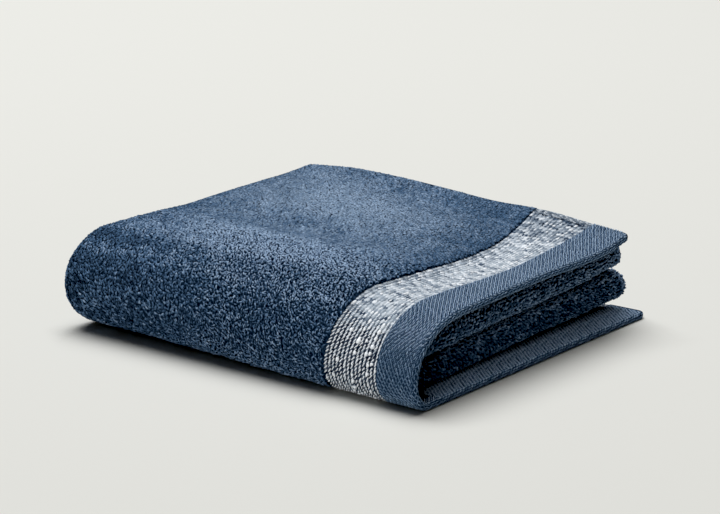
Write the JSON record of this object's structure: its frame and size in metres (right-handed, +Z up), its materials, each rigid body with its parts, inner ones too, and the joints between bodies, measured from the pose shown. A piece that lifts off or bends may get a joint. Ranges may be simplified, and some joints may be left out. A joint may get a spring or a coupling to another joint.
{
  "type": "hand towel",
  "caption": "Terry hand towel with a woven border and hem at its end, folded in three along its length and in half across its width, lying flat.",
  "frame": {"origin": "under the middle of the folded towel's extents, on the surface it lies on", "axes": "+X along the folded front edge towards the end that shows its hem, +Y towards the open back edge, +Z up through the layers"},
  "size_m": [0.1686, 0.148, 0.0427],
  "materials": {
    "towel": "matt looped terry in mid blue, with a flat woven border in blue and white and a twill-woven hem in blue"
  },
  "bodies": {
    "root": {"towel": "towel"}
  },
  "joints": []
}
